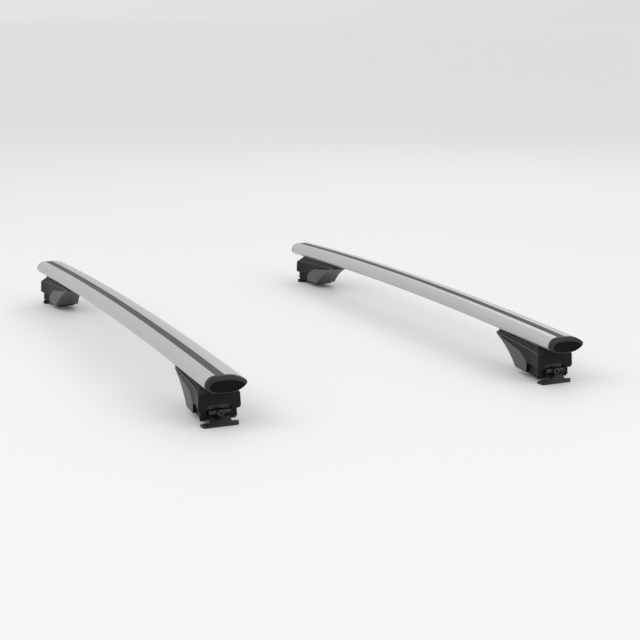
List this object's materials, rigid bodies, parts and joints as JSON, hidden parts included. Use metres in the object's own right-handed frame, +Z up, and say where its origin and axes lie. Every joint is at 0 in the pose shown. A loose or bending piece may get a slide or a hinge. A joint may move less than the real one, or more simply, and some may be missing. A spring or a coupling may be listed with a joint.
{
  "type": "pair of roof cross bars",
  "caption": "Two arched wing-section aluminium cross bars with rubber slot strips, on moulded feet whose hinged steel claws are drawn in by a bolt to grip a car's side rails",
  "frame": {"origin": "floor level under the middle of the pair", "axes": "+X along the bars to the car's right, +Y forwards, +Z up"},
  "size_m": [1.2888, 0.7994, 0.1163],
  "materials": {
    "bar_aluminium": "satin anodised",
    "strip_rubber": "ribbed matt",
    "cap_moulding": "satin",
    "foot_moulding": "fine grain",
    "cover_moulding": "fine grain",
    "saddle_rubber": "matt",
    "pad_rubber": "matt",
    "claw_steel": "black coating",
    "bolt_steel": "black oxide",
    "fastener_steel": "zinc plated"
  },
  "bodies": {
    "frame": {"front_bar_profile": "bar_aluminium", "front_slot_strip": "strip_rubber", "front_left_foot_body": "foot_moulding", "front_left_outer_cover": "cover_moulding", "front_left_saddle": "saddle_rubber", "front_left_rail_pad": "pad_rubber", "front_left_claw_pin": "fastener_steel", "front_left_clamp_nut": "fastener_steel", "front_left_saddle_screws": "fastener_steel", "front_left_channel_nuts": "fastener_steel", "front_left_end_cap": "cap_moulding", "front_right_foot_body": "foot_moulding", "front_right_outer_cover": "cover_moulding", "front_right_saddle": "saddle_rubber", "front_right_rail_pad": "pad_rubber", "front_right_claw_pin": "fastener_steel", "front_right_clamp_nut": "fastener_steel", "front_right_saddle_screws": "fastener_steel", "front_right_channel_nuts": "fastener_steel", "front_right_end_cap": "cap_moulding", "rear_bar_profile": "bar_aluminium", "rear_slot_strip": "strip_rubber", "rear_left_foot_body": "foot_moulding", "rear_left_outer_cover": "cover_moulding", "rear_left_saddle": "saddle_rubber", "rear_left_rail_pad": "pad_rubber", "rear_left_claw_pin": "fastener_steel", "rear_left_clamp_nut": "fastener_steel", "rear_left_saddle_screws": "fastener_steel", "rear_left_channel_nuts": "fastener_steel", "rear_left_end_cap": "cap_moulding", "rear_right_foot_body": "foot_moulding", "rear_right_outer_cover": "cover_moulding", "rear_right_saddle": "saddle_rubber", "rear_right_rail_pad": "pad_rubber", "rear_right_claw_pin": "fastener_steel", "rear_right_clamp_nut": "fastener_steel", "rear_right_saddle_screws": "fastener_steel", "rear_right_channel_nuts": "fastener_steel", "rear_right_end_cap": "cap_moulding"},
    "front_left_claw_arm": {"front_left_claw": "claw_steel", "front_left_lip_liner": "pad_rubber"},
    "front_left_clamp": {"front_left_clamp_bolt": "bolt_steel", "front_left_bolt_bearing": "bolt_steel"},
    "front_right_claw_arm": {"front_right_claw": "claw_steel", "front_right_lip_liner": "pad_rubber"},
    "front_right_clamp": {"front_right_clamp_bolt": "bolt_steel", "front_right_bolt_bearing": "bolt_steel"},
    "rear_left_claw_arm": {"rear_left_claw": "claw_steel", "rear_left_lip_liner": "pad_rubber"},
    "rear_left_clamp": {"rear_left_clamp_bolt": "bolt_steel", "rear_left_bolt_bearing": "bolt_steel"},
    "rear_right_claw_arm": {"rear_right_claw": "claw_steel", "rear_right_lip_liner": "pad_rubber"},
    "rear_right_clamp": {"rear_right_clamp_bolt": "bolt_steel", "rear_right_bolt_bearing": "bolt_steel"}
  },
  "joints": [
    {"name": "front_left_claw_swing", "type": "hinge", "parent": "frame", "child": "front_left_claw_arm", "pos_m": [-0.594, 0.3585, 0.048], "axis": [0, 1, 0], "range_deg": [0, 12]},
    {"name": "front_left_bolt_travel", "type": "slide", "parent": "frame", "child": "front_left_clamp", "axis": [-1, 0, 0], "range_m": [0, 0.00524]},
    {"name": "front_right_claw_swing", "type": "hinge", "parent": "frame", "child": "front_right_claw_arm", "pos_m": [0.594, 0.3585, 0.048], "axis": [0, -1, 0], "range_deg": [0, 12]},
    {"name": "front_right_bolt_travel", "type": "slide", "parent": "frame", "child": "front_right_clamp", "axis": [1, 0, 0], "range_m": [0, 0.00524]},
    {"name": "rear_left_claw_swing", "type": "hinge", "parent": "frame", "child": "rear_left_claw_arm", "pos_m": [-0.594, -0.3585, 0.048], "axis": [0, 1, 0], "range_deg": [0, 12]},
    {"name": "rear_left_bolt_travel", "type": "slide", "parent": "frame", "child": "rear_left_clamp", "axis": [-1, 0, 0], "range_m": [0, 0.00524]},
    {"name": "rear_right_claw_swing", "type": "hinge", "parent": "frame", "child": "rear_right_claw_arm", "pos_m": [0.594, -0.3585, 0.048], "axis": [0, -1, 0], "range_deg": [0, 12]},
    {"name": "rear_right_bolt_travel", "type": "slide", "parent": "frame", "child": "rear_right_clamp", "axis": [1, 0, 0], "range_m": [0, 0.00524]}
  ],
  "couplings": [
    {"joint": "front_left_bolt_travel", "follows": "front_left_claw_swing", "m_per_rad": 0.025},
    {"joint": "front_right_bolt_travel", "follows": "front_right_claw_swing", "m_per_rad": 0.025},
    {"joint": "rear_left_bolt_travel", "follows": "rear_left_claw_swing", "m_per_rad": 0.025},
    {"joint": "rear_right_bolt_travel", "follows": "rear_right_claw_swing", "m_per_rad": 0.025}
  ]
}
